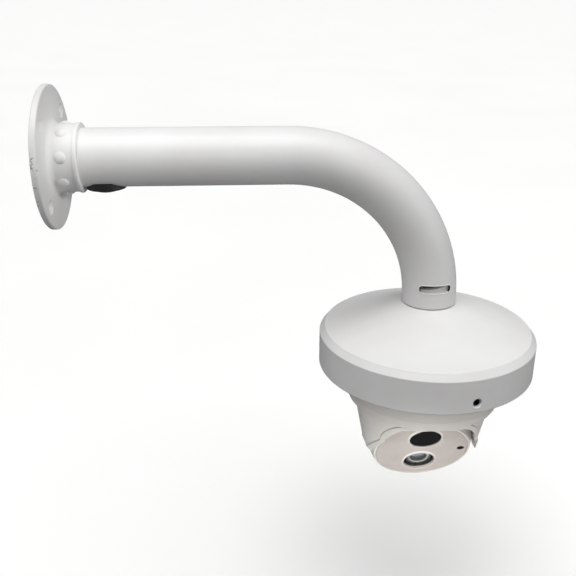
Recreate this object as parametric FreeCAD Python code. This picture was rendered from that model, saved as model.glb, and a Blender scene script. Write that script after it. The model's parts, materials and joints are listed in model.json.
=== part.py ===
import FreeCAD
import Part
import math
import os

# A wall-mounted turret security camera: a bent arm on a round wall flange, a dished cap that
# swivels on the arm's neck, and an eyeball camera under the cap's plate.
# Millimetres. Origin: centre of the flange's back face. +X runs out along the arm, +Z is up,
# and the camera looks towards -Y.

Vec = FreeCAD.Vector
X_AXIS = Vec(1, 0, 0)
Y_AXIS = Vec(0, 1, 0)
Z_AXIS = Vec(0, 0, 1)
ORIGIN = Vec(0, 0, 0)

# ---- driving dimensions: wall flange and arm ----
FLANGE_R = 39.0
FLANGE_T = 3.4
BOLT_CIRCLE_R = 31.0
BOLT_COUNT = 4
BOLT_HOLE_R = 2.4
BOLT_SINK_R = 4.2
BOLT_SINK_DEPTH = 1.8
COLLAR_R = 18.5
COLLAR_END = 18.2
COLLAR_BEAD = 0.5
COLLAR_BEAD_LEN = 2.2
COLLAR_FILLET = 3.0
TUBE_R = 16.0
TUBE_WALL = 2.0
TUBE_BORE_R = TUBE_R - TUBE_WALL
TUBE_START = 1.0
ARM_STRAIGHT = 130.0
BEND_R = 84.5
NECK_X = ARM_STRAIGHT + BEND_R
NECK_END_Z = -87.95
RIVET_X = 9.9
RIVET_HEAD_R = 3.2
RIVET_HEAD_H = 1.3
RIVET_SHANK_R = 1.6
RIVET_COUNT = 8
RIVET_FIRST_DEG = 11.7
PLUG_X = 29.4
PLUG_RIM_R = 11.1
PLUG_FACE_R = 5.2
PLUG_DROP = 2.5
PLUG_EDGE_T = 0.25
PLUG_WRAP_Z = -12.5
PLUG_WALL = 1.6
PLUG_HOLE_R = 8.5

# ---- driving dimensions: neck slots and swivelling cap ----
SLOT_Z = -75.8
SLOT_HALF_H = 2.6
SLOT_HALF_DEG = 36.0
SPIGOT_R = 13.92
SPIGOT_WALL = 2.1
SPIGOT_FLANGE_R = 20.0
SPIGOT_FLANGE_T = 2.0
SPIGOT_SCREW_R = 1.5
SPIGOT_SCREW_CIRCLE_R = 17.0
SPIGOT_CUT_SLOPE = 0.225
SPIGOT_CUT_FRONT_Z = -75.9
REAMED_TOP_Z = -69.4
LOCK_SCREW_R = 2.0
LOCK_WASHER_R = 4.0
LOCK_WASHER_T = 0.8
LOCK_WASHER_GAP = 0.85
CAP_R = 65.0
CAP_EDGE_R = 61.8
CAP_WALL = 2.4
CAP_TOP_Z = -88.65
CAP_EDGE_Z = -105.2
CAP_SHOULDER_Z = -109.0
CAP_RIM_Z = -129.2
CAP_HUB_R = 17.2
CAP_HUB_UNDER_Z = -92.6
CAP_HUB_UNDER_R = 21.0
CAP_EDGE_ROUND = 0.6
PLATE_Z = -128.4
PLATE_T = 2.0
PLATE_R = CAP_R - CAP_WALL - 0.3
PLATE_RIM_H = 9.0
PLATE_RIM_T = 1.8
PLATE_HOLE_R = 14.0
SIDE_SCREW_Z = -123.2
SIDE_SCREW_HOLE_R = 2.5
SIDE_SCREW_SINK = 0.5
SIDE_SCREW_R = 1.95
SIDE_SCREW_LEN = 5.4
SIDE_SCREW_FIRST_DEG = -76.5
SIDE_SCREW_COUNT = 3

# ---- driving dimensions: camera base and shroud (depths below the plate) ----
BASE_R = 49.0
BASE_DEPTH = 16.5
BASE_WALL = 2.0
BASE_FLOOR = 2.2
GASKET_T = 1.0
BASE_SCREW_R = 35.0
BASE_SCREW_COUNT = 3
BASE_SCREW_SHANK_R = 1.95
CABLE_HOLE_R = 11.0
RIB_OUT_R = 44.0
RIB_IN_R = 41.0
BAND_R = 46.3
BAND_DEPTH = 22.8
BAND_BORE_R = 42.8
SHROUD_TOP_R = 42.5
SHROUD_LOW_R = 35.9
SHROUD_DEPTH = 56.0
SHROUD_WALL = 1.8
BALL_DEPTH = 52.5
ARCH_TOP = 27.0
ARCH_HALF_W = 27.6
ARCH_SHOULDER = 12.0
ARCH_FOOT_HALF_W = 33.0
LIP_W = 2.2
LIP_PROUD = 0.9
PIN_R = 2.0
PIN_FIT = 0.06
FACE_GAP = 0.12

# ---- driving dimensions: eyeball (w is the distance forward of the ball's centre) ----
BALL_R = 33.4
FACE_W = 13.7
PARTING_W = 3.0
REST_TILT_DEG = 27.0
CRADLE_R = 33.2
CRADLE_BORE_R = 31.3
REAR_SHELL_R = 31.0
REAR_SHELL_WALL = 1.9
SPIGOT_SHELL_R = 28.8
FACE_PLATE_R = 29.2
FACE_PLATE_T = 2.0
BEZEL_W = 1.4
BEZEL_SEAT = 0.6
WINDOW_R = 9.8
LENS_V = -12.0
IR_V = 15.0
SENSOR_X = 24.6
SENSOR_V = 1.8
SENSOR_WINDOW_R = 2.3
CHASSIS_W = 4.0
CHASSIS_T = 1.6
CHASSIS_R = 26.6
SENSOR_BOARD_W = -9.6
MAIN_BOARD_W = -19.0
BOARD_T = 1.6
POST_CIRCLE_R = 23.6
POST_R = 2.8
POST_SCREW_R = 1.2
STANDOFF_CIRCLE_R = 16.5
STANDOFF_R = 2.3

# ---- driving dimensions: optics and infrared lamp ----
LENS_THREAD_R = 6.1
LENS_NOSE_R = 7.4
LENS_NOSE_W = 10.7
LENS_SEAT_R = 5.6
FRONT_GLASS_R = 5.5
REAR_GLASS_R = 4.8
LENS_HOLDER_SIDE = 17.0
SENSOR_WELL_SIDE = 12.5
IR_BOARD_R = 8.6
IR_BOARD_T = 1.4
FIN_COUNT = 5
FIN_PITCH = 3.7
FIN_T = 1.2
FIN_H = 5.0
FIT = 0.05

NECK = Vec(NECK_X, 0, 0)
BALL_CENTRE = Vec(NECK_X, 0, PLATE_Z - BALL_DEPTH)


# ---- helpers ----
def point_on(radius, degrees, z=0.0, centre=ORIGIN):
    """A point at a radius and bearing about a vertical axis."""
    bearing = math.radians(degrees)
    return Vec(centre.x + radius * math.cos(bearing), centre.y + radius * math.sin(bearing), z)


def outline(points):
    """A closed wire in the XZ plane from (r, z) corners; (r, z, r_end, z_end) is an arc."""
    start = Vec(points[0][0], 0, points[0][1])
    here = start
    edges = []
    for item in points[1:] + [points[0]]:
        end = Vec(item[-2], 0, item[-1])
        if len(item) == 4:
            edges.append(Part.Arc(here, Vec(item[0], 0, item[1]), end).toShape())
        elif (end - here).Length > 1e-6:
            edges.append(Part.LineSegment(here, end).toShape())
        here = end
    return Part.Wire(edges)


def turned(points, centre=ORIGIN):
    """A solid of revolution about Z, moved so that the axis stands on centre."""
    solid = Part.Face(outline(points)).revolve(ORIGIN, Z_AXIS, 360)
    solid.translate(Vec(centre.x, centre.y, 0))
    return solid


def ring(r_out, r_in, z_low, z_high, centre=ORIGIN):
    """A flat ring or tube standing on Z."""
    return turned([(r_in, z_low), (r_out, z_low), (r_out, z_high), (r_in, z_high)], centre)


def disc(radius, z_low, z_high, centre=ORIGIN):
    """A round plate or peg standing on Z."""
    return Part.makeCylinder(radius, z_high - z_low, Vec(centre.x, centre.y, z_low), Z_AXIS)


def dome(radius, low, rise):
    """A spherical cap about Z that stands on z = low."""
    ball_r = (radius ** 2 + rise ** 2) / (2 * rise)
    ball = Part.makeSphere(ball_r, Vec(0, 0, low + rise - ball_r))
    return ball.common(disc(radius, low, low + rise + 1))


def laid_along_x(solid):
    """Turn a solid made about Z so that its axis lies along X."""
    solid.rotate(ORIGIN, Y_AXIS, 90)
    return solid


def fused(solids):
    """One solid from several that meet."""
    whole = solids[0].multiFuse(solids[1:]) if len(solids) > 1 else solids[0]
    return whole.removeSplitter()


def group(solids):
    """Separate identical pieces that share one node."""
    return Part.makeCompound(solids)


def driven_cross(radius, depth):
    """The cross recess of a screw head, cut down from z = 0."""
    bar = Part.makeBox(radius * 1.3, radius * 0.28, depth, Vec(-radius * 0.65, -radius * 0.14, -depth))
    other = bar.copy()
    other.rotate(ORIGIN, Z_AXIS, 90)
    return bar.fuse(other)


def pan_screw(shank_r, length, head_r, head_h):
    """A pan-head screw: shank from z = 0 down, domed head above it, cross recess."""
    head = turned([(0, 0), (head_r, 0), (head_r, head_h * 0.45),
                   (head_r * 0.82, head_h * 0.88, head_r * 0.45, head_h), (0, head_h)])
    recess = driven_cross(head_r, head_h * 0.7)
    recess.translate(Vec(0, 0, head_h))
    bevel = shank_r * 0.3
    shank = turned([(0, 0), (shank_r, 0), (shank_r, bevel - length), (shank_r - bevel, -length),
                    (0, -length)])
    return fused([head.cut(recess), shank])


def set_screw(radius, length):
    """A headless screw from z = 0 down with a hex socket in its top."""
    body = disc(radius, -length, 0)
    corners = [point_on(radius * 0.6, 60 * k, -radius * 1.2) for k in range(7)]
    socket = Part.Face(Part.makePolygon(corners)).extrude(Vec(0, 0, radius * 2.4))
    return body.cut(socket)


def pointed(solid, place, direction):
    """Move a solid made along +Z to a place, with its +Z turned to a direction."""
    copy = solid.copy()
    turn = FreeCAD.Rotation(Z_AXIS, direction)
    copy.Placement = FreeCAD.Placement(place, turn).multiply(copy.Placement)
    return copy


def radial(degrees):
    """The unit vector out from a vertical axis at a bearing."""
    return point_on(1.0, degrees)


def in_ball(solid):
    """Place a solid made with the lens axis along +Z and the top along +Y into the eyeball."""
    copy = solid.copy()
    copy.rotate(ORIGIN, X_AXIS, 90 + REST_TILT_DEG)
    copy.translate(BALL_CENTRE)
    return copy


# ---- wall flange and arm ----
def rivet_bearings():
    """Bearings of the rivets round the arm, from -Y towards +Z, in degrees."""
    return [RIVET_FIRST_DEG + 360.0 / RIVET_COUNT * k for k in range(RIVET_COUNT)]


def around_arm(degrees):
    """The unit vector out from the arm's axis at a bearing from -Y towards +Z."""
    turn = math.radians(degrees)
    return Vec(0, -math.cos(turn), math.sin(turn))


def rivet_holes(radius):
    """Radial pegs at every rivet, to cut holes with."""
    reach = COLLAR_R + 2.0
    return [Part.makeCylinder(radius, reach, Vec(RIVET_X, 0, 0), around_arm(a)) for a in rivet_bearings()]


def wall_flange():
    """Cast flange and collar: a round disc with four countersunk holes and a socket for the arm."""
    bead_start = COLLAR_END - COLLAR_BEAD_LEN
    bead_r = COLLAR_R + COLLAR_BEAD
    fillet_mid = COLLAR_FILLET * (1 - math.sqrt(0.5))
    profile = [(TUBE_BORE_R, 0), (FLANGE_R - 0.4, 0), (FLANGE_R, 0.4), (FLANGE_R, FLANGE_T - 0.8),
               (FLANGE_R - 0.25, FLANGE_T - 0.25, FLANGE_R - 0.8, FLANGE_T),
               (COLLAR_R + COLLAR_FILLET, FLANGE_T),
               (COLLAR_R + fillet_mid, FLANGE_T + fillet_mid, COLLAR_R, FLANGE_T + COLLAR_FILLET),
               (COLLAR_R, bead_start), (bead_r, bead_start + 0.4), (bead_r, COLLAR_END - 0.7),
               (bead_r - 0.2, COLLAR_END - 0.2, bead_r - 0.7, COLLAR_END),
               (TUBE_R + FIT, COLLAR_END), (TUBE_R + FIT, TUBE_START), (TUBE_BORE_R, TUBE_START)]
    body = laid_along_x(turned(profile))
    cuts = rivet_holes(RIVET_SHANK_R + FIT)
    for k in range(BOLT_COUNT):
        turn = math.radians(45 + 360.0 / BOLT_COUNT * k)
        place = Vec(0, BOLT_CIRCLE_R * math.cos(turn), BOLT_CIRCLE_R * math.sin(turn))
        hole = disc(BOLT_HOLE_R, -1, FLANGE_T + 1)
        sink = Part.makeCone(BOLT_HOLE_R, BOLT_SINK_R, BOLT_SINK_DEPTH, Vec(0, 0, FLANGE_T - BOLT_SINK_DEPTH))
        cutter = laid_along_x(hole.fuse(sink))
        cutter.translate(place)
        cuts.append(cutter)
    return body.cut(cuts)


def bent_rod(radius):
    """The arm's path as a solid rod: straight out, a quarter bend down, a short straight neck."""
    straight = Part.makeCylinder(radius, ARM_STRAIGHT - TUBE_START, Vec(TUBE_START, 0, 0), X_AXIS)
    section = Part.Face(Part.Wire(Part.makeCircle(radius, Vec(ARM_STRAIGHT, 0, 0), X_AXIS)))
    bend = section.revolve(Vec(ARM_STRAIGHT, 0, -BEND_R), Y_AXIS, 90)
    neck = Part.makeCylinder(radius, -BEND_R - NECK_END_Z, Vec(NECK_X, 0, NECK_END_Z), Z_AXIS)
    return fused([straight, bend, neck])


def neck_slot(bearing):
    """A round-ended slot part of the way round the neck, centred on a bearing."""
    end_deg = SLOT_HALF_DEG - math.degrees(SLOT_HALF_H / TUBE_R)
    inner = TUBE_BORE_R - 3.0
    outer = TUBE_R + 3.0
    corners = [Vec(inner, 0, -SLOT_HALF_H), Vec(outer, 0, -SLOT_HALF_H), Vec(outer, 0, SLOT_HALF_H),
               Vec(inner, 0, SLOT_HALF_H), Vec(inner, 0, -SLOT_HALF_H)]
    sweep = Part.Face(Part.makePolygon(corners)).revolve(ORIGIN, Z_AXIS, 2 * end_deg)
    sweep.rotate(ORIGIN, Z_AXIS, bearing - end_deg)
    ends = [Part.makeCylinder(SLOT_HALF_H, outer, ORIGIN, radial(bearing + side * end_deg))
            for side in (-1, 1)]
    slot = fused([sweep] + ends)
    slot.translate(Vec(NECK_X, 0, SLOT_Z))
    return slot


def arm_tube():
    """Bent aluminium tube: cable hole underneath, rivet holes, two slots in the neck, reamed neck."""
    tube = bent_rod(TUBE_R).cut(bent_rod(TUBE_BORE_R))
    cuts = rivet_holes(RIVET_SHANK_R + FIT)
    cuts.append(disc(TUBE_BORE_R, NECK_END_Z - 1, REAMED_TOP_Z, NECK))
    cuts.append(Part.makeCylinder(PLUG_HOLE_R + FIT, TUBE_R + 5, Vec(PLUG_X, 0, 0), Vec(0, 0, -1)))
    cuts.append(neck_slot(-90))
    cuts.append(neck_slot(90))
    return tube.cut(cuts)


def collar_rivets():
    """Eight domed rivets through the collar and the arm's wall."""
    seat = COLLAR_R - 0.15
    head = dome(RIVET_HEAD_R, seat, RIVET_HEAD_H + 0.15)
    collar = Part.makeCylinder(COLLAR_R, 12, Vec(-6, 0, 0), X_AXIS)
    shank = disc(RIVET_SHANK_R, TUBE_BORE_R, COLLAR_R)
    rivet = fused([head.cut(collar), shank])
    return group([pointed(rivet, Vec(RIVET_X, 0, 0), around_arm(a)) for a in rivet_bearings()])


def cable_plug():
    """Rubber plug in the cable hole: a tapered cap outside and a ribbed stem through the wall."""
    face_z = -TUBE_R - PLUG_DROP
    rim_z = -TUBE_R - PLUG_EDGE_T
    cap = turned([(0, face_z), (PLUG_FACE_R, face_z), (PLUG_RIM_R - 1.0, rim_z - 0.6),
                  (PLUG_RIM_R - 0.25, rim_z - 0.4, PLUG_RIM_R, rim_z), (PLUG_RIM_R, PLUG_WRAP_Z),
                  (0, PLUG_WRAP_Z)])
    cap.translate(Vec(PLUG_X, 0, 0))
    rod = Part.makeCylinder(TUBE_R + 0.02, 40, Vec(PLUG_X - 20, 0, 0), X_AXIS)
    stem = disc(PLUG_HOLE_R, -TUBE_R - 1.0, -TUBE_BORE_R + 1.2, Vec(PLUG_X, 0, 0))
    hollow = disc(PLUG_HOLE_R - PLUG_WALL, -TUBE_R, -TUBE_BORE_R + 2, Vec(PLUG_X, 0, 0))
    return fused([cap.cut(rod), stem]).cut(hollow)


# ---- swivelling cap ----
def swivel_spigot():
    """Sleeve inside the neck: slant-cut top so that the cable slides in, flange under the cap."""
    top = SLOT_Z + 14.0
    flange_low = CAP_HUB_UNDER_Z - SPIGOT_FLANGE_T
    bore = SPIGOT_R - SPIGOT_WALL
    sleeve = ring(SPIGOT_R, bore, flange_low, top, NECK)
    flange = ring(SPIGOT_FLANGE_R, bore, flange_low, CAP_HUB_UNDER_Z, NECK)
    body = fused([sleeve, flange])
    lean = math.sqrt(0.5)
    front_rise = SPIGOT_CUT_SLOPE * lean * TUBE_BORE_R
    cutter = Part.makeBox(60, 60, 30, Vec(-30, -30, 0))
    cutter.rotate(ORIGIN, Vec(-lean, lean, 0), -math.degrees(math.atan(SPIGOT_CUT_SLOPE)))
    cutter.translate(Vec(NECK_X, 0, SPIGOT_CUT_FRONT_Z + front_rise))
    screw_hole = Part.makeCylinder(LOCK_SCREW_R + FIT, 20, Vec(NECK_X, 0, SLOT_Z), Y_AXIS)
    cuts = [cutter, screw_hole]
    for place in spigot_screw_places():
        cuts.append(disc(SPIGOT_SCREW_R + FIT, flange_low - 1, CAP_HUB_UNDER_Z + 1, place))
    return body.cut(cuts)


def spigot_screw_places():
    """Axes of the three screws that hold the spigot's flange."""
    return [point_on(SPIGOT_SCREW_CIRCLE_R, 30 + 120 * k, 0, NECK) for k in range(3)]


def spigot_screws():
    """Three screws up through the spigot's flange into the cap's hub."""
    screw = pan_screw(SPIGOT_SCREW_R, 4.6, 2.6, 1.8)
    low = CAP_HUB_UNDER_Z - SPIGOT_FLANGE_T
    return group([pointed(screw, Vec(p.x, p.y, low), Vec(0, 0, -1)) for p in spigot_screw_places()])


def lock_washer():
    """Flat washer outside the rear slot, clear of the neck over the whole swivel."""
    washer = ring(LOCK_WASHER_R, LOCK_SCREW_R + 0.1, 0, LOCK_WASHER_T)
    return pointed(washer, Vec(NECK_X, TUBE_R + LOCK_WASHER_GAP, SLOT_Z), Y_AXIS)


def lock_screw():
    """Screw through the rear slot into the spigot; it locks the swivel and stops it at each end."""
    screw = pan_screw(LOCK_SCREW_R, 7.2, 3.7, 2.4)
    return pointed(screw, Vec(NECK_X, TUBE_R + LOCK_WASHER_GAP + LOCK_WASHER_T, SLOT_Z), Y_AXIS)


def side_screw_bearings():
    """Bearings of the set screws in the cap's wall."""
    return [SIDE_SCREW_FIRST_DEG + 360.0 / SIDE_SCREW_COUNT * k for k in range(SIDE_SCREW_COUNT)]


def side_pegs(radius, r_from, r_to):
    """Radial pegs at the set screws."""
    pegs = []
    for degrees in side_screw_bearings():
        start = point_on(r_from, degrees, SIDE_SCREW_Z, NECK)
        pegs.append(Part.makeCylinder(radius, r_to - r_from, start, radial(degrees)))
    return pegs


def cap_shell():
    """Dished cap: hub, shallow cone, bevel and a straight side wall, open underneath."""
    inner_r = CAP_R - CAP_WALL
    edge_under = CAP_EDGE_Z - CAP_WALL * 1.05
    rim_round = 0.7
    profile = [(TUBE_BORE_R, CAP_TOP_Z), (CAP_HUB_R - 0.6, CAP_TOP_Z),
               (CAP_HUB_R + 0.6, CAP_TOP_Z - 0.5, CAP_HUB_R + 2.8, CAP_TOP_Z - 1.5),
               (CAP_EDGE_R - CAP_EDGE_ROUND, CAP_EDGE_Z + 0.25),
               (CAP_EDGE_R, CAP_EDGE_Z, CAP_EDGE_R + 0.45, CAP_EDGE_Z - 0.55),
               (CAP_R - 0.3, CAP_SHOULDER_Z + 0.3),
               (CAP_R - 0.05, CAP_SHOULDER_Z - 0.1, CAP_R, CAP_SHOULDER_Z - 0.6),
               (CAP_R, CAP_RIM_Z + rim_round),
               (CAP_R - 0.2, CAP_RIM_Z + 0.2, CAP_R - rim_round, CAP_RIM_Z),
               (inner_r, CAP_RIM_Z), (inner_r, CAP_SHOULDER_Z - 1.0), (CAP_EDGE_R - 1.6, edge_under - 0.6),
               (CAP_HUB_UNDER_R, CAP_HUB_UNDER_Z), (TUBE_BORE_R, CAP_HUB_UNDER_Z)]
    body = turned(profile, NECK)
    cuts = side_pegs(SIDE_SCREW_HOLE_R, inner_r - 2, CAP_R + 2)
    for degrees in side_screw_bearings():
        start = point_on(CAP_R - SIDE_SCREW_SINK, degrees, SIDE_SCREW_Z, NECK)
        cuts.append(Part.makeCone(SIDE_SCREW_HOLE_R, SIDE_SCREW_HOLE_R + 2 * SIDE_SCREW_SINK,
                                  2 * SIDE_SCREW_SINK, start, radial(degrees)))
    for place in spigot_screw_places():
        cuts.append(disc(SPIGOT_SCREW_R + FIT, CAP_HUB_UNDER_Z - 1, CAP_HUB_UNDER_Z + 2.8, place))
    return body.cut(cuts)


def arc_slot(radius, half_w, half_deg, bearing, z_low, z_high):
    """A round-ended slot that follows a circle about the neck's axis."""
    corners = [Vec(radius - half_w, 0, z_low), Vec(radius + half_w, 0, z_low),
               Vec(radius + half_w, 0, z_high), Vec(radius - half_w, 0, z_high),
               Vec(radius - half_w, 0, z_low)]
    sweep = Part.Face(Part.makePolygon(corners)).revolve(ORIGIN, Z_AXIS, 2 * half_deg)
    sweep.rotate(ORIGIN, Z_AXIS, bearing - half_deg)
    ends = [disc(half_w, z_low, z_high, point_on(radius, bearing + side * half_deg)) for side in (-1, 1)]
    slot = fused([sweep] + ends)
    slot.translate(NECK)
    return slot


def base_screw_bearings():
    """Bearings of the screws that hold the camera's base."""
    return [90 + 360.0 / BASE_SCREW_COUNT * k for k in range(BASE_SCREW_COUNT)]


# Slots of the plate: radius, half width, half length in degrees, and bearing from a base screw.
PLATE_SLOTS = [(BASE_SCREW_R, 2.2, 9, 0), (25.0, 2.2, 12, 60), (54.0, 1.8, 8, 20), (54.0, 1.8, 8, 80)]


def mounting_plate():
    """Pressed plate with a turned-up rim that closes the cap and carries the camera."""
    top = PLATE_Z + PLATE_T
    floor = disc(PLATE_R, PLATE_Z, top, NECK)
    rim = ring(PLATE_R, PLATE_R - PLATE_RIM_T, PLATE_Z, PLATE_Z + PLATE_RIM_H, NECK)
    cuts = side_pegs(SIDE_SCREW_R + FIT, PLATE_R - 5, PLATE_R + 2)
    cuts.append(disc(PLATE_HOLE_R, PLATE_Z - 1, top + 1, NECK))
    for degrees in base_screw_bearings():
        for radius, half_w, half_deg, turn in PLATE_SLOTS:
            cuts.append(arc_slot(radius, half_w, half_deg, degrees + turn, PLATE_Z - 1, top + 1))
    return fused([floor, rim]).cut(cuts)


def plate_set_screws():
    """Three set screws, sunk in the cap's wall and threaded into the plate's rim."""
    screw = set_screw(SIDE_SCREW_R, SIDE_SCREW_LEN)
    start_r = CAP_R - 1.3
    places = [(point_on(start_r, a, SIDE_SCREW_Z, NECK), radial(a)) for a in side_screw_bearings()]
    return group([pointed(screw, place, out) for place, out in places])


# ---- camera base ----
BASE_TOP = PLATE_Z - GASKET_T
BASE_LOW = PLATE_Z - BASE_DEPTH
BAND_LOW = PLATE_Z - BAND_DEPTH
LEDGE_Z = BAND_LOW + 4.2
SHROUD_FLANGE_TOP = LEDGE_Z + 2.3
FRICTION_TOP = SHROUD_FLANGE_TOP + 1.6
BASE_LOCK_Z = BASE_LOW + 2.6
BASE_LOCK_DEG = 60
BASE_LOCK_R = 1.5


def base_gasket():
    """Foam gasket between the plate and the camera's base."""
    body = ring(BASE_R - 1.2, PLATE_HOLE_R, BASE_TOP, PLATE_Z, NECK)
    return body.cut([disc(2.4, BASE_TOP - 1, PLATE_Z + 1, point_on(BASE_SCREW_R, a, 0, NECK))
                     for a in base_screw_bearings()])


def base_lock_hole(radius):
    """Radial peg where the lock screw goes through the base's wall into the clamp ring."""
    start = point_on(BAND_R - 2.8, BASE_LOCK_DEG, BASE_LOCK_Z, NECK)
    return Part.makeCylinder(radius, 8.0, start, radial(BASE_LOCK_DEG))


def camera_base():
    """Round base cup of the camera: floor against the gasket, side wall, rib that seats the shroud."""
    wall_r = BASE_R - BASE_WALL
    floor_low = BASE_TOP - BASE_FLOOR
    profile = [(CABLE_HOLE_R, BASE_TOP), (BASE_R - 0.8, BASE_TOP),
               (BASE_R - 0.25, BASE_TOP - 0.25, BASE_R, BASE_TOP - 0.8), (BASE_R, BASE_LOW + 1.2),
               (BASE_R - 0.35, BASE_LOW + 0.35, BASE_R - 1.2, BASE_LOW),
               (wall_r, BASE_LOW), (wall_r, floor_low), (RIB_OUT_R, floor_low), (RIB_OUT_R, FRICTION_TOP),
               (RIB_IN_R, FRICTION_TOP), (RIB_IN_R, floor_low), (CABLE_HOLE_R, floor_low)]
    cuts = [disc(BASE_SCREW_SHANK_R + 0.25, floor_low - 1, BASE_TOP + 1, point_on(BASE_SCREW_R, a, 0, NECK))
            for a in base_screw_bearings()]
    cuts.append(base_lock_hole(BASE_LOCK_R + 0.1))
    return turned(profile, NECK).cut(cuts)


def base_screws():
    """Three screws up through the base's floor and the plate."""
    screw = pan_screw(BASE_SCREW_SHANK_R, 10.0, 3.8, 2.2)
    low = BASE_TOP - BASE_FLOOR
    return group([pointed(screw, point_on(BASE_SCREW_R, a, low, NECK), Vec(0, 0, -1))
                  for a in base_screw_bearings()])


def base_nuts():
    """Three hexagon nuts on the plate's upper side."""
    nuts = []
    low = PLATE_Z + PLATE_T
    for degrees in base_screw_bearings():
        centre = point_on(BASE_SCREW_R, degrees, 0, NECK)
        corners = [point_on(4.04, 60 * k, low, centre) for k in range(7)]
        nut = Part.Face(Part.makePolygon(corners)).extrude(Vec(0, 0, 3.2))
        nuts.append(nut.cut(disc(BASE_SCREW_SHANK_R, low - 1, low + 5, centre)))
    return group(nuts)


def cable_grommet():
    """Rubber grommet in the base's cable hole."""
    low = BASE_TOP - BASE_FLOOR
    edge = CABLE_HOLE_R + 2.0
    return turned([(8.0, BASE_TOP + 1.0), (edge, BASE_TOP + 0.8), (edge, BASE_TOP), (CABLE_HOLE_R, BASE_TOP),
                   (CABLE_HOLE_R, low), (edge, low), (edge, low - 1.0), (8.0, low - 1.8)], NECK)


def friction_ring():
    """Nylon ring between the base's rib and the shroud's flange; its drag holds the pan."""
    return ring(RIB_OUT_R, RIB_IN_R - 0.4, SHROUD_FLANGE_TOP + FACE_GAP, FRICTION_TOP, NECK)


def clamp_ring():
    """Retaining ring inside the base's wall; its lower band shows below the base."""
    skirt_r = BASE_R - BASE_WALL - 0.15
    profile = [(BAND_BORE_R, BAND_LOW), (BAND_R - 0.9, BAND_LOW),
               (BAND_R - 0.25, BAND_LOW + 0.25, BAND_R, BAND_LOW + 0.9), (BAND_R, BASE_LOW - 0.1),
               (skirt_r, BASE_LOW), (skirt_r, BASE_LOW + 5.5), (RIB_OUT_R + 0.9, BASE_LOW + 5.5),
               (RIB_OUT_R + 0.9, LEDGE_Z),
               (BAND_BORE_R, LEDGE_Z)]
    return turned(profile, NECK).cut(base_lock_hole(BASE_LOCK_R + FIT))


def base_lock_screw():
    """Set screw through the base's wall that keeps the clamp ring from turning."""
    place = point_on(BASE_R - 0.5, BASE_LOCK_DEG, BASE_LOCK_Z, NECK)
    return pointed(set_screw(BASE_LOCK_R, 3.3), place, radial(BASE_LOCK_DEG))


# ---- shroud ----
def arch_side(grow, side):
    """Corner points of one side of the front opening, from the foot up to the flat top."""
    half = ARCH_HALF_W + grow
    foot = ARCH_FOOT_HALF_W + grow
    corner = (half - 3.6, ARCH_SHOULDER + 9.6 + grow * 0.7)
    hip = ((foot + half) / 2 + 0.7, ARCH_SHOULDER / 2 - 1.0)
    places = [(foot, -20.0), (foot, -3.0), hip, (half, ARCH_SHOULDER), corner, (11.0, ARCH_TOP + grow)]
    return [Vec(side * x, 0, z) for x, z in places]


def arch_prism(grow):
    """The shroud's front opening as a prism towards -Y: flat-topped arch over a widening foot."""
    right = arch_side(grow, 1)
    left = arch_side(grow, -1)
    edges = [Part.LineSegment(left[0], right[0]).toShape(),
             Part.Arc(right[5], Vec(0, 0, ARCH_TOP + grow + 0.9), left[5]).toShape()]
    for side in (right, left):
        edges.append(Part.LineSegment(side[0], side[1]).toShape())
        edges.append(Part.Arc(side[1], side[2], side[3]).toShape())
        edges.append(Part.Arc(side[3], side[4], side[5]).toShape())
    prism = Part.Face(Part.Wire(Part.__sortEdges__(edges))).extrude(Vec(0, -60, 0))
    prism.translate(BALL_CENTRE)
    return prism


def shroud():
    """Tapered hood that turns in the clamp ring and carries the eyeball between its two cheeks."""
    low_z = PLATE_Z - SHROUD_DEPTH
    cone_top = BAND_LOW - 0.2
    inner_top = SHROUD_TOP_R - SHROUD_WALL
    inner_low = SHROUD_LOW_R - SHROUD_WALL
    flange_r = RIB_OUT_R + 0.6
    flange_low = LEDGE_Z + FACE_GAP
    profile = [(inner_top - 0.2, SHROUD_FLANGE_TOP), (flange_r, SHROUD_FLANGE_TOP), (flange_r, flange_low),
               (SHROUD_TOP_R, flange_low), (SHROUD_TOP_R, cone_top), (SHROUD_LOW_R, low_z + 0.6),
               (SHROUD_LOW_R - 0.5, low_z), (inner_low, low_z), (inner_top - 0.2, cone_top)]
    hood = turned(profile, NECK)
    proud = turned([(inner_top, cone_top - 0.4), (SHROUD_TOP_R, cone_top - 0.4),
                    (SHROUD_TOP_R + LIP_PROUD, cone_top - 2.0), (SHROUD_LOW_R + LIP_PROUD, low_z + 0.6),
                    (SHROUD_LOW_R, low_z), (inner_low, low_z)], NECK)
    lip = proud.common(arch_prism(LIP_W))
    pin_hole = Part.makeCylinder(PIN_R + PIN_FIT, 100, BALL_CENTRE - Vec(50, 0, 0), X_AXIS)
    return fused([hood, lip]).cut([arch_prism(0.0), pin_hole])


# ---- tilting cradle ----
def tilt_cradle():
    """Spherical cup round the back of the eyeball, hung on two pins, open at the back for the cable."""
    cup = Part.makeSphere(CRADLE_R).cut(Part.makeSphere(CRADLE_BORE_R))
    front_cut = disc(40, PARTING_W - 0.3, 40)
    rear_cut = disc(14.0, -40, 0)
    pin_hole = Part.makeCylinder(PIN_R, 100, Vec(-50, 0, 0), X_AXIS)
    return in_ball(cup.cut([front_cut, rear_cut, pin_hole]))


def trunnion_pins():
    """Two pins pressed into the cradle that turn in the shroud's cheeks."""
    reach = 36.3
    start = CRADLE_BORE_R + 0.1
    right = Part.makeCylinder(PIN_R, reach - start, Vec(start, 0, 0), X_AXIS)
    left = Part.makeCylinder(PIN_R, reach - start, Vec(-start, 0, 0), Vec(-1, 0, 0))
    return in_ball(group([right, left]))


# ---- eyeball ----
def sphere_r(radius, w):
    """Radius of a sphere's section at a distance w from its centre."""
    return math.sqrt(radius ** 2 - w ** 2)


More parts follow.
